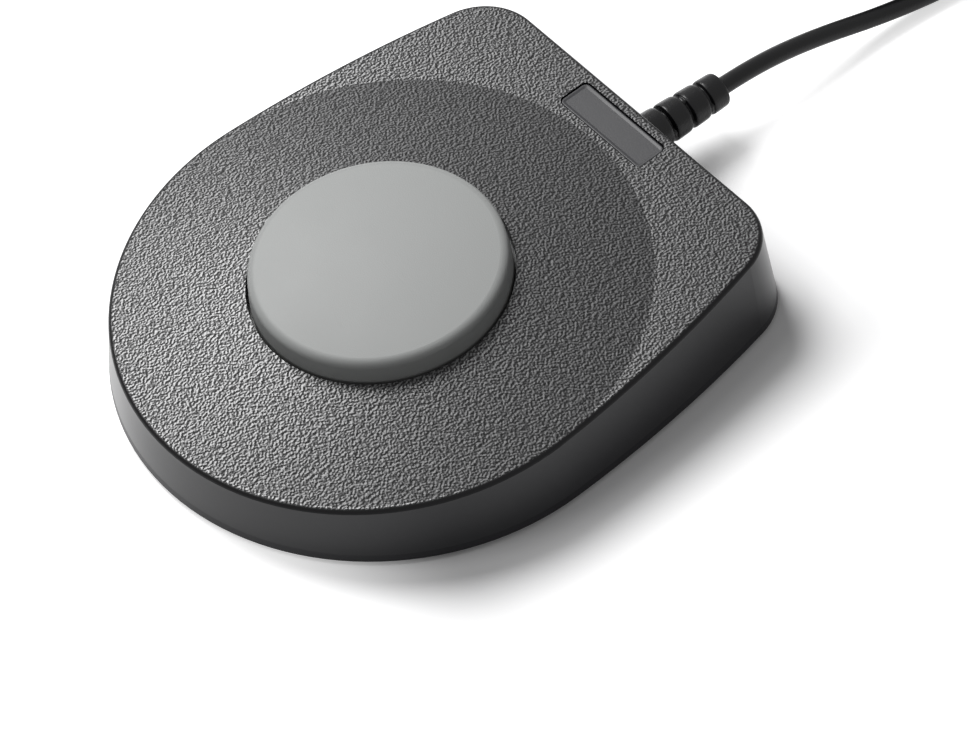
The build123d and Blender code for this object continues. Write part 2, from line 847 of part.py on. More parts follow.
def make_cable_clamp():
    bar = block(
        (-clamp_length / 2, clamp_y - clamp_width / 2, cable_height - clamp_split_drop),
        (clamp_length / 2, clamp_y + clamp_width / 2, clamp_top),
    )
    bar -= along_cable(cable_radius + cable_clearance, clamp_y - clamp_width, clamp_y + clamp_width)
    one = screw(clamp_screw_radius, clamp_screw_length, clamp_screw_head_radius, clamp_screw_head_height)
    screws = []
    for side in (-1, 1):
        x = side * clamp_screw_x
        bar -= upright(clamp_screw_radius + screw_hole_clearance, 0, overrun, x, clamp_y)
        screws.append(Pos(x, clamp_y, clamp_top) * one)
    return {"cable_clamp": bar, "clamp_screws": Compound(children=screws)}


def make_strain_relief():
    start = back_y - (cable_height - relief_root_radius - foot_proud) * draft_rate + relief_wall_gap
    length = relief_end_y - start
    plane = Plane(origin=(0, start, cable_height), x_dir=(1, 0, 0), z_dir=(0, 1, 0))
    solid = plane * Cone(
        relief_root_radius, relief_tip_radius, length, align=(Align.CENTER, Align.CENTER, Align.MIN)
    )
    pitch = length / (relief_ring_count - relief_slot_share)
    slot = pitch * relief_slot_share
    for index in range(relief_ring_count - 1):
        low = (index + 1) * pitch - slot
        groove = upright(relief_root_radius + slot, low, low + slot)
        groove -= upright(relief_tip_radius * relief_core_share, low, low + slot)
        web_size = (relief_web_width, overrun) if index % 2 == 0 else (overrun, relief_web_width)
        groove -= Pos(0, 0, low) * Box(*web_size, overrun)
        solid -= plane * groove
    wall_inset = wall_thickness + (cable_height + relief_flange_radius - foot_proud) * draft_rate
    flange_back = back_y - wall_inset - relief_wall_gap
    flange_front = flange_back - relief_flange_thickness
    solid += along_cable(relief_neck_radius, flange_back, start)
    solid += along_cable(relief_flange_radius, flange_front, flange_back)
    return solid - along_cable(cable_radius + cable_clearance, flange_front, relief_end_y)


def make_coil(start):
    centre = start - Vector(coil_outer_radius, 0, 0)
    points = []
    ways = []

    def add(quarter, radius, height, slope=0.0):
        turn = math.radians(quarter * 90)
        points.append(centre + Vector(radius * math.cos(turn), radius * math.sin(turn), height))
        ways.append(Vector(-math.sin(turn), math.cos(turn), slope).normalized())

    radius = coil_outer_radius
    quarter = 0
    add(quarter, radius, 0)
    for layer in range(coil_layers):
        height = layer * coil_pitch
        step = coil_pitch / 2 if layer % 2 else -coil_pitch / 2
        last_layer = layer == coil_layers - 1
        for _ in range(coil_half_turns_per_layer + int(last_layer)):
            radius += step
            quarter += 2
            add(quarter, radius, height)
        if not last_layer:
            climb_rate = coil_pitch / radius / 2
            add(quarter + 1, radius + step / 2, height + coil_pitch / 2, climb_rate)
            quarter += 2
            add(quarter, radius, height + coil_pitch)
    edges = biarc_chain(points, ways)
    least_half_turn = math.pi * (radius - coil_pitch * coil_half_turns_per_layer / 2)
    self_gap(edges, cable_radius, least_half_turn, "cord_coil")
    return tube_on(edges, cable_radius, ways[0]), points[-1]


def make_plug(end):
    frame = Plane(origin=end, x_dir=(1, 0, 0), z_dir=(0, 1, 0))
    relief = Cone(
        plug_relief_tip_radius,
        plug_relief_radius,
        plug_relief_length,
        align=(Align.CENTER, Align.CENTER, Align.MIN),
    )
    grip = Pos(0, 0, plug_relief_length) * extrude(
        RectangleRounded(plug_width, plug_height, plug_corner_radius), plug_length
    )
    tip = plug_relief_length + plug_length
    socket_floor = tip - shell_socket_depth
    socket = RectangleRounded(
        shell_width + 2 * shell_clearance, shell_height + 2 * shell_clearance, shell_corner_radius
    )
    body = relief + grip - Pos(0, 0, socket_floor) * extrude(socket, overrun)
    outer = extrude(
        RectangleRounded(shell_width, shell_height, shell_corner_radius), shell_socket_depth + shell_length
    )
    inner = extrude(
        RectangleRounded(
            shell_width - 2 * shell_wall, shell_height - 2 * shell_wall, shell_corner_radius - shell_wall
        ),
        overrun,
    )
    shell = Pos(0, 0, socket_floor) * (outer - inner)
    for side in (-1, 1):
        window = Box(shell_window, overrun, shell_window)
        shell -= Pos(side * shell_window_offset, 0, tip + shell_length - shell_window_from_tip) * window
    gap = shell_wall + shell_clearance
    rear_face = RectangleRounded(
        shell_width - 2 * gap, shell_height - 2 * gap, shell_corner_radius - shell_wall
    )
    rear = Pos(0, 0, socket_floor) * extrude(rear_face, tongue_block_length)
    tongue_low = shell_height / 2 - gap - tongue_thickness
    tongue_end = tip + shell_length - tongue_tip_inset
    tongue = block(
        (-tongue_width / 2, -tongue_low - tongue_thickness, socket_floor),
        (tongue_width / 2, -tongue_low, tongue_end),
    )
    contacts = []
    for index in range(pin_count):
        x = (index - (pin_count - 1) / 2) * contact_pitch
        contacts.append(
            block(
                (x - contact_width / 2, -tongue_low, tongue_end - contact_length - tongue_tip_inset),
                (x + contact_width / 2, -tongue_low + contact_thickness, tongue_end - tongue_tip_inset),
            )
        )
    return {
        "plug_body": frame * body,
        "plug_shell": frame * shell,
        "plug_tongue": frame * (rear + tongue),
        "plug_contacts": Compound(children=[frame * contact for contact in contacts]),
    }


def route(start, steps):
    """The points reached from a start by a run of steps."""
    points = [start]
    for step in steps:
        points.append(points[-1] + Vector(*step))
    return points


def make_cable():
    parts = {"cable_inside": along_cable(cable_radius, cable_end_y, relief_end_y)}
    lead = route(Vector(0, relief_end_y, cable_height), lead_steps)
    parts["cord_lead"] = routed_tube(lead, cable_radius, "cord_lead")
    coil, coil_end = make_coil(lead[-1])
    parts["cord_coil"] = coil
    tail = route(coil_end, tail_steps)
    parts["cord_tail"] = routed_tube(tail, cable_radius, "cord_tail")
    parts.update(make_plug(tail[-1]))
    return parts


def make_parts():
    parts = {
        "top_housing": make_top_housing(),
        "bottom_cover": make_bottom_cover(),
        "pedal_cap": make_pedal_cap(),
        "return_spring": make_return_spring(),
        "name_plate": make_name_plate(),
        "case_screws": make_case_screws(),
        "circuit_board": make_circuit_board(),
        "board_screws": make_board_screws(),
        "crystal": make_crystal(),
        "electrolytic_capacitor": make_capacitor(),
        "ceramic_capacitors": board_chips(ceramic_size, ceramic_place_shares),
        "resistors": board_chips(resistor_size, resistor_place_shares),
        "strain_relief": make_strain_relief(),
    }
    parts.update(make_rubber_feet())
    parts.update(make_stop_pads())
    parts.update(make_switch())
    parts.update(make_controller_chip())
    parts.update(make_connector())
    parts.update(make_cable_clamp())
    parts.update(make_cable())
    return parts


os.makedirs("parts", exist_ok=True)
for name, shape in make_parts().items():
    export_step(shape, f"parts/{name}.step")
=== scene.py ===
import json
import math

import bmesh
import bpy
from mathutils import Matrix, Vector


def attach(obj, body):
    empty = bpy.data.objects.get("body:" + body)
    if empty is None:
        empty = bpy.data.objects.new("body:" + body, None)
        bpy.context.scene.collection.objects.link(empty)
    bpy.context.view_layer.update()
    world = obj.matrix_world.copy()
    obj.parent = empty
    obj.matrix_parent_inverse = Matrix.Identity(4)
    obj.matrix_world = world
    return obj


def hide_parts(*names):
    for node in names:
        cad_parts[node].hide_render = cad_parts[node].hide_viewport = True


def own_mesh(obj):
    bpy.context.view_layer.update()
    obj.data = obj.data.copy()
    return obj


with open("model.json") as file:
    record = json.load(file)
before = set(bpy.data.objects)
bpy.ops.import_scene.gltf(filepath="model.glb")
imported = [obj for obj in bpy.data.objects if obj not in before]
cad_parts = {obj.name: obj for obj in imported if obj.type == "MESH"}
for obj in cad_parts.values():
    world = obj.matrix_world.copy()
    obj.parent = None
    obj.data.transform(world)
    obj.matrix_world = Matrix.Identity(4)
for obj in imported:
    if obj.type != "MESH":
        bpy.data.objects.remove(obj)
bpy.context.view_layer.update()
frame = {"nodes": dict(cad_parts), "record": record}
nodes = frame["nodes"]

MM = 0.001

# Places and sizes repeated from the part's source, in metres
PRESS_ORIGIN = Vector((0.0, -4.0, 12.1)) * MM
DECK_TILT = math.radians(3.5)
DECK_UP = Vector((0.0, -math.sin(DECK_TILT), math.cos(DECK_TILT)))
DECK_RIGHT = Vector((1.0, 0.0, 0.0))
DECK_BACK = DECK_UP.cross(DECK_RIGHT)
CABLE_RADIUS = 1.4 * MM
CABLE_BORE = 1.45 * MM
RELIEF_END = Vector((0.0, 60.0, 7.7)) * MM

# The cord's route behind the relief, repeated from the part's source, in millimetres
LEAD_STEPS = ((0.0, 6.0, 0.0), (0.2, 11.0, -2.0), (1.4, 14.0, -3.3), (1.8, 14.0, -0.98), (0.0, 13.0, 0.0))
COIL_RADIUS = 22.9
COIL_PITCH = 3.3
COIL_HALF_TURNS = 7
COIL_LAYERS = 4
POINTS_PER_HALF_TURN = 8
TAIL_STEPS = ((0.0, 9.0, 0.0), (0.0, 11.0, -2.8), (0.0, 11.0, -4.5), (0.0, 9.0, 0.0))


# The photograph's camera, in degrees, millimetres and the photograph's pixels
CAMERA_ANGLES = (56.462, 49.826, -6.758)
CAMERA_TARGET = Vector((0.0, -4.0, 0.8))
CAMERA_ASIDE = 14.225
CAMERA_BELOW = 4.203
CAMERA_DISTANCE = 685.3
CAMERA_FOCAL_PIXELS = 4733.59
PHOTO_WIDTH_PIXELS = 977
SENSOR_WIDTH = 36.0


def place_camera():
    """The photograph's camera, worked back from the outlines that it shows."""
    azimuth, elevation, roll = (math.radians(angle) for angle in CAMERA_ANGLES)
    back = Vector((
        math.sin(azimuth) * math.cos(elevation),
        -math.cos(azimuth) * math.cos(elevation),
        math.sin(elevation),
    ))
    level = Vector((math.cos(azimuth), math.sin(azimuth), 0.0))
    steep = back.cross(level)
    right = level * math.cos(roll) + steep * math.sin(roll)
    up = steep * math.cos(roll) - level * math.sin(roll)
    place = (CAMERA_TARGET + right * CAMERA_ASIDE - up * CAMERA_BELOW + back * CAMERA_DISTANCE) * MM
    data = bpy.data.cameras.new("studio_camera")
    data.sensor_width = SENSOR_WIDTH
    data.lens = CAMERA_FOCAL_PIXELS * SENSOR_WIDTH / PHOTO_WIDTH_PIXELS
    camera = bpy.data.objects.new("studio_camera", data)
    camera.matrix_world = Matrix.Translation(place) @ Matrix((right, up, back)).transposed().to_4x4()
    bpy.context.scene.collection.objects.link(camera)
    bpy.context.scene.camera = camera


# The cord's spline, and the fineness of its tube
CORD_ORDER = 3
CORD_STEPS = 6
CORD_ROUNDNESS = 7


def cord_points():
    """Control points of the cord in millimetres: the lead, the put-away coil and the tail."""
    points = [RELIEF_END / MM]
    for step in LEAD_STEPS:
        points.append(points[-1] + Vector(step))
    centre = points[-1] - Vector((COIL_RADIUS, 0.0, 0.0))
    outside = 1 / math.cos(math.pi / POINTS_PER_HALF_TURN / 2)
    radius, height, half_turns = COIL_RADIUS, 0.0, 0
    for layer in range(COIL_LAYERS):
        last = layer == COIL_LAYERS - 1
        step = COIL_PITCH / 2 if layer % 2 else -COIL_PITCH / 2
        for run in range(COIL_HALF_TURNS + 1):
            climbs = run == COIL_HALF_TURNS and not last
            grow = 0.0 if climbs else step
            climb = COIL_PITCH if climbs else 0.0
            for index in range(1, POINTS_PER_HALF_TURN + 1):
                share = index / POINTS_PER_HALF_TURN
                turn = math.pi * (half_turns + share)
                swell = step / 2 * math.sin(math.pi * share) if climbs else 0.0
                spread = (radius + grow * share + swell) * outside
                rise = climb * (share - math.sin(2 * math.pi * share) / (2 * math.pi))
                points.append(centre + Vector((
                    spread * math.cos(turn),
                    spread * math.sin(turn),
                    height + rise,
                )))
            radius += grow
            height += climb
            half_turns += 1
    end = centre + Vector((radius, 0.0, height))
    points[-1] = end
    for step in TAIL_STEPS:
        end = end + Vector(step)
        points.append(end)
    return points


def make_cord():
    points = cord_points()
    curve = bpy.data.curves.new("cord", "CURVE")
    curve.dimensions = "3D"
    spline = curve.splines.new("NURBS")
    spline.points.add(len(points) - 1)
    for target, point in zip(spline.points, points):
        target.co = (*(point * MM), 1.0)
    spline.order_u = CORD_ORDER
    spline.use_endpoint_u = True
    spline.resolution_u = CORD_STEPS
    curve.bevel_depth = CABLE_RADIUS
    curve.bevel_resolution = CORD_ROUNDNESS
    curve.use_fill_caps = True
    cord = bpy.data.objects.new("cord", curve)
    bpy.context.scene.collection.objects.link(cord)
    return cord, points[-1] * MM


def mesh_piece(name, vertices, faces, smooth=True):
    mesh = bpy.data.meshes.new(name)
    mesh.from_pydata([tuple(vertex) for vertex in vertices], [], faces)
    mesh.update()
    work = bmesh.new()
    work.from_mesh(mesh)
    bmesh.ops.recalc_face_normals(work, faces=work.faces)
    work.to_mesh(mesh)
    work.free()
    for face in mesh.polygons:
        face.use_smooth = smooth
    piece = bpy.data.objects.new(name, mesh)
    bpy.context.scene.collection.objects.link(piece)
    return piece


def loft(name, rings, closed=False):
    """A skin over rings of as many points each, with a flat cap at each end or joined end to start."""
    count = len(rings[0])
    vertices = [point for ring in rings for point in ring]
    faces = []
    spans = len(rings) if closed else len(rings) - 1
    for row in range(spans):
        here = row * count
        there = (row + 1) % len(rings) * count
        for index in range(count):
            after = (index + 1) % count
            faces.append((here + index, here + after, there + after, there + index))
    if not closed:
        faces.append(tuple(range(count)))
        faces.append(tuple(range((len(rings) - 1) * count, len(rings) * count)))
    return mesh_piece(name, vertices, faces)


def smooth_step(low, high, value):
    share = min(1.0, max(0.0, (value - low) / (high - low)))
    return share * share * (3 - 2 * share)


# Strain relief, in millimetres
BOOT_START = 44.79
BOOT_END = 58.9
BOOT_FLANGE = (39.82, 41.3, 4.3)
BOOT_NECK_RADIUS = 3.0
BOOT_ROOT_RADIUS = 3.3
BOOT_TIP_RADIUS = 2.75
BOOT_CORE_RADIUS = 2.2
BOOT_RINGS = 4
BOOT_SLOT_SHARE = 0.17
BOOT_SHOULDER = 0.28
BOOT_SHOULDER_POWER = 7
BOOT_WEB_HALF = 0.85
BOOT_WEB_EASE = (0.2, 0.15)
BOOT_WEB_BULGE = 0.1
BOOT_SLOT_STEEPNESS = 3
BOOT_MOUTH_WIDENING = 0.25
BOOT_MOUTH_DEPTH = 0.3
BOOT_SHARP_STEP = 0.001
BOOT_STEPS = 170
BOOT_SEGMENTS = 96


def boot_radius(distance, angle):
    """The relief's radius at a distance along the cable and an angle round it."""
    if distance < BOOT_FLANGE[1]:
        return BOOT_FLANGE[2]
    if distance < BOOT_START:
        return BOOT_NECK_RADIUS
    share = (distance - BOOT_START) / (BOOT_END - BOOT_START)
    outer = BOOT_ROOT_RADIUS + (BOOT_TIP_RADIUS - BOOT_ROOT_RADIUS) * share
    pitch = (BOOT_END - BOOT_START) / (BOOT_RINGS - BOOT_SLOT_SHARE)
    ring = min(int((distance - BOOT_START) / pitch), BOOT_RINGS - 1)
    along = (distance - BOOT_START - ring * pitch) / (pitch * (1 - BOOT_SLOT_SHARE))
    if along <= 1:
        shoulder = math.sqrt(max(0.0, 1 - abs(2 * along - 1) ** BOOT_SHOULDER_POWER))
        return outer - BOOT_SHOULDER * (1 - shoulder)
    turned = angle + (math.pi / 2 if ring % 2 else 0.0)
    sideways = abs(math.sin(turned)) * outer
    web = 1 - smooth_step(BOOT_WEB_HALF - BOOT_WEB_EASE[0], BOOT_WEB_HALF + BOOT_WEB_EASE[1], sideways)
    middle = 1 - (2 * (along - 1) * (1 - BOOT_SLOT_SHARE) / BOOT_SLOT_SHARE - 1) ** 2
    web_radius = outer - BOOT_SHOULDER + BOOT_WEB_BULGE * middle
    slot_radius = web_radius - (web_radius - BOOT_CORE_RADIUS) * min(1.0, BOOT_SLOT_STEEPNESS * middle)
    return slot_radius + (web_radius - slot_radius) * web


def make_boot():
    flange_start, flange_end = BOOT_FLANGE[:2]
    distances = [flange_start, flange_end - BOOT_SHARP_STEP, flange_end, BOOT_START - BOOT_SHARP_STEP]
    length = BOOT_END - BOOT_START
    distances += [BOOT_START + length * index / BOOT_STEPS for index in range(BOOT_STEPS + 1)]
    bore = CABLE_BORE / MM
    axis_height = RELIEF_END.z / MM

    def ring(distance, radius_at):
        points = []
        for index in range(BOOT_SEGMENTS):
            angle = 2 * math.pi * index / BOOT_SEGMENTS
            radius = radius_at(angle)
            points.append(Vector((
                radius * math.cos(angle),
                distance,
                axis_height + radius * math.sin(angle),
            )) * MM)
        return points

    rings = [ring(flange_start, lambda angle: bore)]
    rings += [ring(d, lambda angle, d=d: boot_radius(d, angle)) for d in distances]
    rings.append(ring(BOOT_END, lambda angle: bore + BOOT_MOUTH_WIDENING))
    rings.append(ring(BOOT_END - BOOT_MOUTH_DEPTH, lambda angle: bore))
    return loft("cable_boot", rings, closed=True)


# Plug, in millimetres along the cord's end
PLUG_RELIEF_LENGTH = 8.0
PLUG_RELIEF_RADIUS = 2.0
PLUG_ROOT_RADIUS = 2.6
PLUG_GROOVE_PITCH = 1.6
PLUG_GROOVE_DEPTH = 0.28
PLUG_GROOVE_POWER = 3
PLUG_GROOVE_START = 0.5
PLUG_GRIP_LENGTH = 26.0
PLUG_WIDTH = 15.6
PLUG_HEIGHT = 8.0
PLUG_SHOULDER = (-0.6, 3.4)
PLUG_SHOULDER_POWER = 0.6
PLUG_ROUND_POWER = 2.0
PLUG_SQUARE_POWER = 5.2
PLUG_WAIST_DEPTH = 0.75
PLUG_WAIST_PLACE = 13.0
PLUG_WAIST_REACH = 5.5
PLUG_WAIST_HEIGHT_SHARE = 0.15
PLUG_RIBS = (7.0, 19.0)
PLUG_RIB_PITCH = 2.4
PLUG_RIB_DEPTH = 0.28
PLUG_FRONT_LENGTH = 1.0
PLUG_FRONT_ROUNDING = 0.6
PLUG_STEPS = 200
PLUG_SEGMENTS = 96


def plug_section(along):
    """Half width, half height and squareness of the plug's section at a distance along it."""
    if along < PLUG_RELIEF_LENGTH:
        radius = PLUG_RELIEF_RADIUS + (PLUG_ROOT_RADIUS - PLUG_RELIEF_RADIUS) * along / PLUG_RELIEF_LENGTH
        if along > PLUG_GROOVE_START:
            wave = 0.5 - 0.5 * math.cos(2 * math.pi * along / PLUG_GROOVE_PITCH)
            radius -= PLUG_GROOVE_DEPTH * wave ** PLUG_GROOVE_POWER
        return radius, radius, PLUG_ROUND_POWER
    inside = along - PLUG_RELIEF_LENGTH
    shoulder = smooth_step(*PLUG_SHOULDER, inside) ** PLUG_SHOULDER_POWER
    width = PLUG_ROOT_RADIUS + (PLUG_WIDTH / 2 - PLUG_ROOT_RADIUS) * shoulder
    height = PLUG_ROOT_RADIUS + (PLUG_HEIGHT / 2 - PLUG_ROOT_RADIUS) * shoulder
    from_waist = inside - PLUG_WAIST_PLACE
    waist = PLUG_WAIST_DEPTH * math.exp(-(from_waist / PLUG_WAIST_REACH) ** 2)
    ribs = 0.0
    if PLUG_RIBS[0] < inside < PLUG_RIBS[1]:
        ribs = PLUG_RIB_DEPTH * max(0.0, math.cos(2 * math.pi * from_waist / PLUG_RIB_PITCH)) ** 2
    front = max(0.0, (inside - (PLUG_GRIP_LENGTH - PLUG_FRONT_LENGTH)) / PLUG_FRONT_LENGTH)
    edge = PLUG_FRONT_ROUNDING * (1 - math.sqrt(max(0.0, 1 - front ** 2)))
    power = PLUG_ROUND_POWER + (PLUG_SQUARE_POWER - PLUG_ROUND_POWER) * shoulder
    return width - waist - ribs - edge, height - PLUG_WAIST_HEIGHT_SHARE * waist - ribs - edge, power


def make_plug_grip(start):
    length = PLUG_RELIEF_LENGTH + PLUG_GRIP_LENGTH
    rings = []
    for index in range(PLUG_STEPS + 1):
        along = length * index / PLUG_STEPS
        width, height, power = plug_section(along)
        ring = []
        for corner in range(PLUG_SEGMENTS):
            angle = 2 * math.pi * corner / PLUG_SEGMENTS
            across, up = math.cos(angle), math.sin(angle)
            reach = (abs(across) ** power + abs(up) ** power) ** (-1 / power)
            ring.append(start + Vector((width * across * reach, along, height * up * reach)) * MM)
        rings.append(ring)
    return loft("plug_grip", rings)


# Name plate, in millimetres on the deck
PLATE_SIZE = (18.1, 5.2, 0.62)
PLATE_CENTRE = 42.85
PLATE_DROP = 0.8
PLATE_CORNER = 0.85
PLATE_EDGE = 0.14
PLATE_RIM = 0.34
PLATE_RIM_HEIGHT = 0.14
PLATE_EDGE_STEPS = 4
PLATE_CORNER_STEPS = 6


def rounded_outline(width, depth, radius):
    points = []
    for quarter, (side_x, side_y) in enumerate(((1, 1), (-1, 1), (-1, -1), (1, -1))):
        for step in range(PLATE_CORNER_STEPS + 1):
            angle = math.pi / 2 * (quarter + step / PLATE_CORNER_STEPS)
            points.append((
                side_x * (width / 2 - radius) + radius * math.cos(angle),
                side_y * (depth / 2 - radius) + radius * math.sin(angle),
            ))
    return points


def make_plate():
    """The bare plate: rounded outer edge, and a low rim that slopes down to the flat middle."""
    width, depth, thick = PLATE_SIZE
    levels = [(0.0, 0.0)]
    for step in range(PLATE_EDGE_STEPS + 1):
        angle = math.pi / 2 * step / PLATE_EDGE_STEPS
        levels.append((PLATE_EDGE * (1 - math.cos(angle)), thick - PLATE_EDGE + PLATE_EDGE * math.sin(angle)))
    levels += [(PLATE_RIM, thick), (PLATE_RIM + 2 * PLATE_RIM_HEIGHT, thick - PLATE_RIM_HEIGHT)]
    rings = []
    for inset, height in levels:
        outline = rounded_outline(width - 2 * inset, depth - 2 * inset, PLATE_CORNER - inset)
        middle = DECK_BACK * PLATE_CENTRE + DECK_UP * (height - PLATE_DROP)
        rings.append([PRESS_ORIGIN + (middle + DECK_RIGHT * x + DECK_BACK * y) * MM for x, y in outline])
    plate = loft("bare_plate", rings)
    for face in plate.data.polygons:
        if len(face.vertices) == len(rings[0]):
            face.use_smooth = False
    return plate


# Return spring, in millimetres from the deck's centre
SPRING_RADIUS = 5.2
SPRING_WIRE_RADIUS = 0.4
SPRING_TURNS = 6
SPRING_FOOT = -8.6
SPRING_TOP = 4.7
SPRING_STEPS_PER_TURN = 40
SPRING_SIDES = 12


def make_spring():
    """The return spring's wire as one tube."""
    low = SPRING_FOOT + SPRING_WIRE_RADIUS
    high = SPRING_TOP - SPRING_WIRE_RADIUS
    steps = SPRING_TURNS * SPRING_STEPS_PER_TURN
    climb = (high - low) / (2 * math.pi * SPRING_TURNS)
    rings = []
    for step in range(steps + 1):
        turn = 2 * math.pi * step / SPRING_STEPS_PER_TURN
        outward = DECK_RIGHT * math.cos(turn) + DECK_BACK * math.sin(turn)
        around = DECK_BACK * math.cos(turn) - DECK_RIGHT * math.sin(turn)
        along = (around * SPRING_RADIUS + DECK_UP * climb).normalized()
        across = along.cross(outward)
        centre = outward * SPRING_RADIUS + DECK_UP * (low + (high - low) * step / steps)
        ring = []
        for corner in range(SPRING_SIDES):
            angle = 2 * math.pi * corner / SPRING_SIDES
            wire = outward * math.cos(angle) + across * math.sin(angle)
            ring.append(PRESS_ORIGIN + (centre + wire * SPRING_WIRE_RADIUS) * MM)
        rings.append(ring)
    return loft("pedal_spring", rings)


# Shader node groups
def group_of(name, inputs, outputs):
    """A new shader node group with float or vector sockets, and its input and output nodes."""
    tree = bpy.data.node_groups.new(name, "ShaderNodeTree")
    for label, kind, value in inputs:
        socket = tree.interface.new_socket(label, in_out="INPUT", socket_type=kind)
        if value is not None:
            socket.default_value = value
    for label, kind in outputs:
        tree.interface.new_socket(label, in_out="OUTPUT", socket_type=kind)
    return tree, tree.nodes.new("NodeGroupInput"), tree.nodes.new("NodeGroupOutput")


def feed(tree, socket, value):
    """Links a socket from another one, or sets it to a value."""
    if isinstance(value, bpy.types.NodeSocket):
        tree.links.new(value, socket)
    else:
        socket.default_value = value


def add(tree, kind, settings=None, **inputs):
    """A node with its settings, and its inputs fed by name, or by number as i0, i1 and so on."""
    node = tree.nodes.new(kind)
    for label, value in (settings or {}).items():
        setattr(node, label, value)
    for label, value in inputs.items():
        numbered = label[0] == "i" and label[1:].isdigit()
        feed(tree, node.inputs[int(label[1:]) if numbered else label], value)
    return node


def math_node(tree, operation, first, second=0.0, clamp=False):
    settings = {"operation": operation, "use_clamp": clamp}
    return add(tree, "ShaderNodeMath", settings, i0=first, i1=second).outputs[0]


def vector_node(tree, operation, first, second=(0.0, 0.0, 0.0)):
    return add(tree, "ShaderNodeVectorMath", {"operation": operation}, i0=first, i1=second).outputs


def ranged(tree, value, low, high, to_low, to_high, curve="LINEAR"):
    settings = {"interpolation_type": curve}
    node = add(tree, "ShaderNodeMapRange", settings, i0=value, i1=low, i2=high, i3=to_low, i4=to_high)
    return node.outputs[0]


def noise(tree, vector, scale, detail=2.0, roughness=0.5, distortion=0.0):
    return add(
        tree, "ShaderNodeTexNoise", Vector=vector, Scale=scale, Detail=detail, Roughness=roughness,
        Distortion=distortion,
    ).outputs[0]


# Moulded grain: how far apart its two samples lie, in metres, and what slope counts as full. The shift points
# one way across the deck, so the slope between the samples marks the grain's flanks that face the light:
# painted light and painted shade.
GRAIN_SHIFT = (-0.000175, -0.000045, 0.0)
GRAIN_RISE = 0.19
GRAIN_SPECKLE = 0.10
GRAIN_DISTORTION = 0.3
GRAIN_FINE_RATIO = 1.6


def make_grain_group():
    """Spark-eroded grain: small bumps between pits, and a mask of painted light on the flanks that face the
    light, with random speckle.
    """
    tree, source, sink = group_of(
        "moulded_grain_and_lit_flanks",
        [
            ("Vector", "NodeSocketVector", None),
            ("Scale", "NodeSocketFloat", 1500.0),
            ("Fine", "NodeSocketFloat", 0.3),
        ],
        [("Height", "NodeSocketFloat"), ("Lit Flanks", "NodeSocketFloat")],
    )
    vector, scale = source.outputs["Vector"], source.outputs["Scale"]
    ahead = vector_node(tree, "ADD", vector, GRAIN_SHIFT)[0]
    coarse = noise(tree, vector, scale, 0.0, distortion=GRAIN_DISTORTION)
    beyond = noise(tree, ahead, scale, 0.0, distortion=GRAIN_DISTORTION)
    fine = noise(tree, vector, math_node(tree, "MULTIPLY", scale, GRAIN_FINE_RATIO), 0.0)
    slope = math_node(tree, "SUBTRACT", coarse, beyond)
    speckled = math_node(tree, "ADD", slope, ranged(tree, fine, 0.0, 1.0, -GRAIN_SPECKLE, GRAIN_SPECKLE))
    weighted = math_node(tree, "MULTIPLY", fine, source.outputs["Fine"])
    feed(tree, sink.inputs["Height"], math_node(tree, "ADD", coarse, weighted))
    # Lit Flanks: painted light on the flanks that face the light, painted shade on those that face away, plus
    # random speckle
    feed(tree, sink.inputs["Lit Flanks"], ranged(tree, speckled, -GRAIN_RISE, GRAIN_RISE, 0.0, 1.0))
    return tree


# Scuffs: noise stretched into lines, turned askew, and the share of it that shows
SCUFF_STRETCH = (1.0, 14.0, 3.0)
SCUFF_TURN = (0.3, 0.2, 0.7)
SCUFF_SCALE = 140.0
SCUFF_SHARES = (0.66, 0.74)


def make_handling_group():
    """Slow cloudy change and thin scuffs, for gloss and tone that differ over a surface."""
    tree, source, sink = group_of(
        "handling",
        [("Vector", "NodeSocketVector", None), ("Cloud Scale", "NodeSocketFloat", 60.0)],
        [("Cloud", "NodeSocketFloat"), ("Scuffs", "NodeSocketFloat")],
    )
    vector = source.outputs["Vector"]
    cloud = noise(tree, vector, source.outputs["Cloud Scale"], 3.0, 0.6)
    stretched = add(tree, "ShaderNodeMapping", Vector=vector, Scale=SCUFF_STRETCH, Rotation=SCUFF_TURN)
    lines = noise(tree, stretched.outputs[0], SCUFF_SCALE, 3.0, 0.7, 0.6)
    feed(tree, sink.inputs["Cloud"], cloud)
    feed(tree, sink.inputs["Scuffs"], ranged(tree, lines, *SCUFF_SHARES, 0.0, 1.0, "SMOOTHSTEP"))
    return tree


def make_drawn_group():
    """Long fine lines along one way, as on drawn wire, rolled sheet or an extruded jacket."""
    tree, source, sink = group_of(
        "drawn_lines",
        [
            ("Vector", "NodeSocketVector", None),
            ("Stretch", "NodeSocketVector", (1.0, 0.03, 1.0)),
            ("Scale", "NodeSocketFloat", 3000.0),
        ],
        [("Height", "NodeSocketFloat")],
    )
    drawn = vector_node(tree, "MULTIPLY", source.outputs["Vector"], source.outputs["Stretch"])[0]
    feed(tree, sink.inputs["Height"], noise(tree, drawn, source.outputs["Scale"], 3.0, 0.65))
    return tree


GRAIN = make_grain_group()
HANDLING = make_handling_group()
DRAWN = make_drawn_group()


def use(tree, group, **inputs):
    """A group placed in a material, with its inputs fed by name."""
    node = tree.nodes.new("ShaderNodeGroup")
    node.node_tree = group
    for label, value in inputs.items():
        feed(tree, node.inputs[label.replace("_", " ")], value)
    return node


# Finishes
CLOUD_SHARES = (0.3, 0.7)


def new_material(name):
    material = bpy.data.materials.new(name)
    material.use_nodes = True
    tree = material.node_tree
    shader = tree.nodes["Principled BSDF"]
    place = tree.nodes.new("ShaderNodeTexCoord").outputs["Object"]
    return material, tree, shader, place


def tint(tree, low, high, share):
    """A colour between two, by a mask."""
    return add(tree, "ShaderNodeMix", {"data_type": "RGBA"}, i0=share, i6=low, i7=high).outputs[2]


def shade(colour, factor=1.0):
    """A colour made darker or lighter, with the fourth value that a socket holds."""
    return (*(min(1.0, part * factor) for part in colour), 1.0)


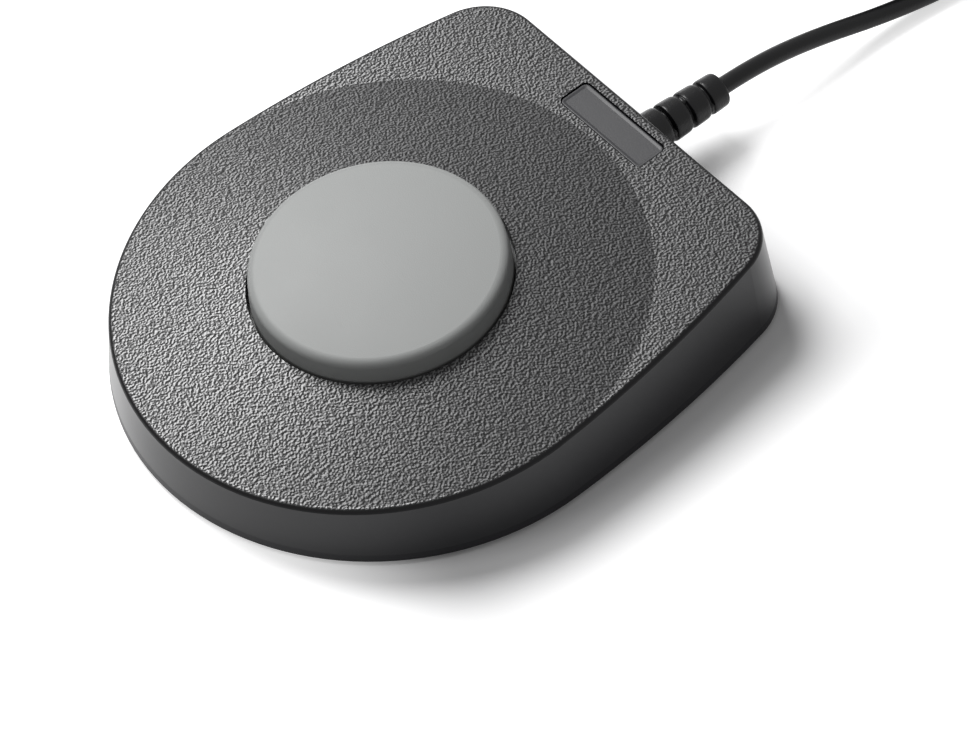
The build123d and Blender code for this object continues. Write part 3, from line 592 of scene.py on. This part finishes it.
def set_roughness(tree, shader, roughness, handling, scuff, clamp=False):
    scuffed = math_node(tree, "MULTIPLY", handling.outputs["Scuffs"], scuff)
    feed(tree, shader.inputs["Roughness"], math_node(tree, "ADD", roughness, scuffed, clamp))


def set_relief(tree, shader, height, depth, strength=1.0):
    bump = add(tree, "ShaderNodeBump", Strength=strength, Distance=depth, Height=height)
    feed(tree, shader.inputs["Normal"], bump.outputs[0])


def plain_finish(
    name, colour, roughness, grain=3000.0, depth=0.00002, spread=0.12, metal=0.0, specular=0.5,
    sheen=0.0, stretch=None, tone=0.12, cloud=60.0,
):
    """A moulded, rubbery or metal finish: fine grain or drawn lines, cloudy gloss and a little handling."""
    material, tree, shader, place = new_material(name)
    handling = use(tree, HANDLING, Vector=place, Cloud_Scale=cloud)
    clouds = handling.outputs["Cloud"]
    base = tint(tree, shade(colour, 1 - tone), shade(colour, 1 + tone), clouds)
    feed(tree, shader.inputs["Base Color"], base)
    gloss = ranged(tree, clouds, *CLOUD_SHARES, roughness - spread / 2, roughness + spread / 2)
    set_roughness(tree, shader, gloss, handling, spread, clamp=True)
    if stretch:
        relief = use(tree, DRAWN, Vector=place, Stretch=stretch, Scale=grain)
    else:
        relief = use(tree, GRAIN, Vector=place, Scale=grain)
    set_relief(tree, shader, relief.outputs["Height"], depth)
    shader.inputs["Metallic"].default_value = metal
    shader.inputs["Specular IOR Level"].default_value = specular
    shader.inputs["Sheen Weight"].default_value = sheen
    return material


# Case: colours, grain, and roughness at the two ends of a mask. The grain's two colours are painted shade and
# painted light on its flanks, and the bevel's colour is painted shade.
# Painted shade and painted light: the colours of the grain's flanks that face away from the light and towards
# it
CASE_SHADED_GRAIN = (0.001, 0.001, 0.0012)
CASE_LIT_GRAIN = (0.046, 0.046, 0.048)
CASE_WALL = (0.0085, 0.0085, 0.0105)
# Painted shade: the bevel is painted darker than the walls of the same plastic
CASE_BEVEL_SHADE = (0.003, 0.003, 0.0035)
CASE_TONE = 0.12
CASE_CLOUD_SCALE = 38.0
CASE_GRAIN_SCALE = 2750.0
CASE_GRAIN_DEPTH = 0.00009
CASE_GRAIN_FINE = 0.05
CASE_SATIN_SCALE = 5200.0
CASE_SATIN_FINE = 0.2
CASE_SATIN_SHARE = 0.03
CASE_FLANK_ROUGHNESS = (0.55, 0.36)
CASE_WALL_ROUGHNESS = (0.27, 0.33)
CASE_SCUFF = 0.06
CASE_POLISH_POWER = 2.3
CASE_WALL_GLOSS = 0.34
CASE_COAT_ROUGHNESS = 0.31
CASE_COAT_IOR = 1.62
CASE_SPECULAR = 0.16

# Where the grain ends, by height over the deck in metres, and by how far a face looks up
CASE_GRAIN_HEIGHTS = (-0.00016, -0.00003)
CASE_GRAIN_FACING = (0.94, 0.985)
# How far a face looks up where the bevel's painted shade begins and is full
CASE_BEVEL_FACING = (0.16, 0.34)
CASE_GLOSS_FACING = (0.15, 0.3)


def case_finish():
    """Dark plastic: coarse grain on the deck and the cone, smooth satin bevel and walls, with painted light
    and shade on the grain's flanks and painted shade on the bevel.
    """
    material, tree, shader, place = new_material("case_plastic_look")
    offset = vector_node(tree, "SUBTRACT", place, tuple(PRESS_ORIGIN))[0]
    above = vector_node(tree, "DOT_PRODUCT", offset, tuple(DECK_UP))["Value"]
    normal = tree.nodes.new("ShaderNodeNewGeometry").outputs["Normal"]
    facing = vector_node(tree, "DOT_PRODUCT", normal, tuple(DECK_UP))["Value"]
    level = ranged(tree, above, *CASE_GRAIN_HEIGHTS, 0.0, 1.0, "SMOOTHSTEP")
    upward = ranged(tree, facing, *CASE_GRAIN_FACING, 0.0, 1.0)
    mask = math_node(tree, "MULTIPLY", level, upward)
    grain = use(tree, GRAIN, Vector=place, Scale=CASE_GRAIN_SCALE, Fine=CASE_GRAIN_FINE)
    lit_flanks = grain.outputs["Lit Flanks"]
    satin = use(tree, GRAIN, Vector=place, Scale=CASE_SATIN_SCALE, Fine=CASE_SATIN_FINE)
    handling = use(tree, HANDLING, Vector=place, Cloud_Scale=CASE_CLOUD_SCALE)
    clouds = handling.outputs["Cloud"]

    wall = tint(tree, shade(CASE_WALL, 1 - CASE_TONE), shade(CASE_WALL, 1 + CASE_TONE), clouds)
    # Painted shade on the bevel, by how far a face looks up
    edge = ranged(tree, facing, *CASE_BEVEL_FACING, 0.0, 1.0)
    smooth = tint(tree, wall, shade(CASE_BEVEL_SHADE), edge)
    # Painted light and shade: the grain's flanks that face the light are painted lighter, those that face
    # away darker
    grain_lit_and_shaded = tint(tree, shade(CASE_SHADED_GRAIN), shade(CASE_LIT_GRAIN), lit_flanks)
    feed(tree, shader.inputs["Base Color"], tint(tree, smooth, grain_lit_and_shaded, mask))

    top_rough = ranged(tree, lit_flanks, 0.0, 1.0, *CASE_FLANK_ROUGHNESS)
    wall_rough = ranged(tree, clouds, *CLOUD_SHARES, *CASE_WALL_ROUGHNESS)
    rough = add(tree, "ShaderNodeMix", {"data_type": "FLOAT"}, i0=mask, i2=wall_rough, i3=top_rough)
    set_roughness(tree, shader, rough.outputs[0], handling, CASE_SCUFF)

    deep = math_node(tree, "MULTIPLY", grain.outputs["Height"], mask)
    shallow = math_node(tree, "MULTIPLY", satin.outputs["Height"], CASE_SATIN_SHARE)
    set_relief(tree, shader, math_node(tree, "ADD", deep, shallow), CASE_GRAIN_DEPTH)

    polished = math_node(tree, "MULTIPLY", math_node(tree, "POWER", lit_flanks, CASE_POLISH_POWER), mask)
    glossy = ranged(tree, facing, *CASE_GLOSS_FACING, CASE_WALL_GLOSS, 0.0)
    feed(tree, shader.inputs["Coat Weight"], math_node(tree, "ADD", polished, glossy))
    shader.inputs["Coat Roughness"].default_value = CASE_COAT_ROUGHNESS
    shader.inputs["Coat IOR"].default_value = CASE_COAT_IOR
    shader.inputs["Specular IOR Level"].default_value = CASE_SPECULAR
    return material


# Circuit board: colours of the mask, and the copper tracks' pattern and height in metres
BOARD_COLOURS = {
    "Color1": (0.006, 0.10, 0.03, 1.0),
    "Color2": (0.008, 0.14, 0.045, 1.0),
    "Mortar": (0.02, 0.22, 0.08, 1.0),
}
BOARD_TRACK_SCALE = 320.0
BOARD_TRACK_WIDTH = 0.08
BOARD_ROUGHNESS = (0.22, 0.36)
BOARD_TRACK_DEPTH = 0.00003
BOARD_TRACK_STRENGTH = 0.6


def board_finish():
    """Green solder mask over faint copper tracks."""
    material, tree, shader, place = new_material("board_look")
    tracks = add(tree, "ShaderNodeTexBrick", Vector=place, Scale=BOARD_TRACK_SCALE, **BOARD_COLOURS)
    tracks.inputs["Mortar Size"].default_value = BOARD_TRACK_WIDTH
    feed(tree, shader.inputs["Base Color"], tracks.outputs["Color"])
    clouds = use(tree, HANDLING, Vector=place).outputs["Cloud"]
    feed(tree, shader.inputs["Roughness"], ranged(tree, clouds, *CLOUD_SHARES, *BOARD_ROUGHNESS))
    set_relief(tree, shader, tracks.outputs["Fac"], BOARD_TRACK_DEPTH, BOARD_TRACK_STRENGTH)
    return material


# Plain finishes: slot, colour, roughness, grain scale, relief depth in metres, and what else differs
METAL = {"metal": 1.0}
RUBBER = {"sheen": 0.15}
CORD_SKIN = {"spread": 0.14, "specular": 0.22}
CAP = {"spread": 0.08, "tone": 0.02, "cloud": 30.0, "specular": 0.18}
EXTRUDED = {"stretch": (1.0, 0.04, 1.0)}
PLAIN_FINISHES = (
    ("cover_plastic", (0.0095, 0.0095, 0.0115), 0.42, 5200.0, 0.00001, {"specular": 0.27}),
    ("cap_plastic", (0.295, 0.302, 0.298), 0.40, 6500.0, 0.000012, CAP),
    ("plate_plastic", (0.024, 0.024, 0.027), 0.42, 4200.0, 0.000006, {"specular": 0.32}),
    ("spring_steel", (0.58, 0.58, 0.60), 0.28, 6000.0, 0.00001, METAL | {"stretch": (1.0, 1.0, 0.05)}),
    ("screw_steel", (0.55, 0.56, 0.58), 0.34, 5000.0, 0.00001, METAL),
    ("foot_rubber", (0.022, 0.022, 0.023), 0.78, 3200.0, 0.00005, RUBBER),
    ("pad_rubber", (0.03, 0.03, 0.03), 0.8, 3200.0, 0.00005, RUBBER),
    ("switch_plastic", (0.02, 0.02, 0.022), 0.45, 4500.0, 0.00002, {}),
    ("plunger_plastic", (0.42, 0.05, 0.035), 0.35, 6000.0, 0.00001, {}),
    ("contact_metal", (0.66, 0.64, 0.58), 0.25, 6000.0, 0.00001, METAL | {"stretch": (1.0, 0.05, 1.0)}),
    ("chip_plastic", (0.02, 0.02, 0.021), 0.55, 7000.0, 0.00002, {}),
    ("can_metal", (0.75, 0.75, 0.76), 0.3, 5000.0, 0.00001, METAL | {"stretch": (0.05, 1.0, 1.0)}),
    ("ceramic", (0.42, 0.31, 0.2), 0.45, 7000.0, 0.00001, {}),
    ("resistor_body", (0.03, 0.03, 0.034), 0.3, 7000.0, 0.00001, {}),
    ("connector_plastic", (0.72, 0.70, 0.62), 0.42, 5000.0, 0.00001, {}),
    ("wire_red", (0.45, 0.03, 0.03), 0.38, 5000.0, 0.00001, EXTRUDED),
    ("wire_white", (0.72, 0.72, 0.70), 0.38, 5000.0, 0.00001, EXTRUDED),
    ("wire_green", (0.03, 0.28, 0.06), 0.38, 5000.0, 0.00001, EXTRUDED),
    ("wire_black", (0.02, 0.02, 0.02), 0.38, 5000.0, 0.00001, EXTRUDED),
    ("clamp_plastic", (0.025, 0.025, 0.026), 0.5, 4000.0, 0.00002, {}),
    ("cable_jacket", (0.003, 0.003, 0.0035), 0.36, 3600.0, 0.00002, CORD_SKIN),
    ("relief_rubber", (0.003, 0.003, 0.0035), 0.30, 3600.0, 0.00003, CORD_SKIN),
    ("plug_plastic", (0.012, 0.012, 0.013), 0.38, 3600.0, 0.00003, {"spread": 0.14}),
    ("shell_metal", (0.50, 0.50, 0.51), 0.26, 4500.0, 0.000008, METAL | EXTRUDED),
    ("tongue_plastic", (0.75, 0.75, 0.73), 0.45, 5000.0, 0.00001, {}),
    ("contact_gold", (0.83, 0.60, 0.24), 0.22, 6000.0, 0.000008, METAL),
)
LOOKS = {"case_plastic": case_finish(), "board_laminate": board_finish()}
for slot, colour, roughness, grain, depth, extras in PLAIN_FINISHES:
    LOOKS[slot] = plain_finish(f"{slot}_look", colour, roughness, grain, depth, **extras)


def dress(piece, slot):
    if piece.material_slots:
        for place in piece.material_slots:
            place.material = LOOKS[slot]
    else:
        piece.data.materials.append(LOOKS[slot])


# Studio, in metres and watts
FLOOR_HALF = 3.0
FLOOR_COLOUR = (0.92, 0.92, 0.925, 1.0)
WHITE = (1.0, 1.0, 1.0, 1.0)
BLACK = (0.0, 0.0, 0.0, 1.0)
AMBIENT = 0.17
LAMPS = (
    ("key_light", (-0.20, -0.24, 0.60), 0.24, 0.62),
    ("sheen_light", (-0.276, 0.026, 0.364), 0.24, 2.15),
)

# What the floor adds for the eye alone: little near the object, so that its shadow stays, more further out
GLOW_NEAR = 0.04
GLOW_FAR = 0.62
GLOW_HORIZON = 0.82
GLOW_REACH = (0.0, 0.025)
HORIZON_REACH = (0.25, 0.8)
GLOW_CENTRE = (0.009, 0.0115, 0.0)
GLOW_HALF = (0.0325, 0.0325, 0.0)


def seen_directly(tree):
    """1 for rays that the camera, a gloss or glass sends, 0 for light that falls on the object."""
    rays = tree.nodes.new("ShaderNodeLightPath").outputs
    seen = math_node(tree, "MAXIMUM", rays["Is Camera Ray"], rays["Is Glossy Ray"])
    return math_node(tree, "MAXIMUM", seen, rays["Is Transmission Ray"])


def make_world():
    """A white world for the eye, and a dim one for the light that falls on the object."""
    world = bpy.data.worlds.new("studio_world")
    bpy.context.scene.world = world
    world.use_nodes = True
    tree = world.node_tree
    tree.nodes.clear()
    falling = add(tree, "ShaderNodeBackground", Color=WHITE, Strength=AMBIENT).outputs[0]
    shown = add(tree, "ShaderNodeBackground", Color=WHITE, Strength=1.0).outputs[0]
    mixed = add(tree, "ShaderNodeMixShader", i0=seen_directly(tree), i1=falling, i2=shown)
    add(tree, "ShaderNodeOutputWorld", Surface=mixed.outputs[0])


def distance_from_block(tree, place):
    """Distance of a floor point from a block that stands for the object and its shadow."""
    aside = vector_node(tree, "ABSOLUTE", vector_node(tree, "SUBTRACT", place, GLOW_CENTRE)[0])[0]
    outside = vector_node(tree, "MAXIMUM", vector_node(tree, "SUBTRACT", aside, GLOW_HALF)[0])[0]
    return vector_node(tree, "LENGTH", outside)["Value"]


def make_floor():
    corners = [Vector((x, y, 0.0)) * FLOOR_HALF for x, y in ((-1, -1), (1, -1), (1, 1), (-1, 1))]
    floor = mesh_piece("studio_floor", corners, [(0, 1, 2, 3)], smooth=False)
    material = bpy.data.materials.new("studio_floor_look")
    material.use_nodes = True
    tree = material.node_tree
    tree.nodes.clear()
    matte = add(tree, "ShaderNodeBsdfDiffuse", Color=FLOOR_COLOUR).outputs[0]
    reach = distance_from_block(tree, tree.nodes.new("ShaderNodeTexCoord").outputs["Object"])
    far = ranged(tree, reach, *HORIZON_REACH, GLOW_FAR, GLOW_HORIZON)
    strength = ranged(tree, reach, *GLOW_REACH, GLOW_NEAR, far, "SMOOTHSTEP")
    glow = add(tree, "ShaderNodeEmission", Color=WHITE, Strength=strength).outputs[0]
    nothing = add(tree, "ShaderNodeEmission", Color=BLACK, Strength=0.0).outputs[0]
    lift = add(tree, "ShaderNodeMixShader", i0=seen_directly(tree), i1=nothing, i2=glow).outputs[0]
    both = add(tree, "ShaderNodeAddShader", i0=matte, i1=lift)
    add(tree, "ShaderNodeOutputMaterial", Surface=both.outputs[0])
    floor.data.materials.append(material)


def make_lamp(name, place, size, power):
    """A round lamp that looks at the object."""
    data = bpy.data.lights.new(name, "AREA")
    data.shape = "DISK"
    data.size = size
    data.energy = power
    lamp = bpy.data.objects.new(name, data)
    lamp.location = place
    lamp.rotation_euler = Vector(place).to_track_quat("Z", "Y").to_euler()
    bpy.context.scene.collection.objects.link(lamp)


place_camera()
cord, plug_start = make_cord()
boot = make_boot()
grip = make_plug_grip(plug_start)
plate = make_plate()
spring = make_spring()
PIECES = (
    (cord, "cable_jacket", ("cord_lead", "cord_coil", "cord_tail")),
    (boot, "relief_rubber", ("strain_relief",)),
    (grip, "plug_plastic", ("plug_body",)),
    (plate, "plate_plastic", ("name_plate",)),
    (spring, "spring_steel", ("return_spring",)),
)
for piece, slot, stands_for in PIECES:
    dress(piece, slot)
    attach(piece, "case")
    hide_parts(*stands_for)
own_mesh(spring)
for entry in frame["record"]["subparts"]:
    dress(nodes[entry["node"]], entry["material_slot"])

make_world()
make_floor()
for lamp in LAMPS:
    make_lamp(*lamp)
bpy.context.scene.view_settings.view_transform = "Standard"
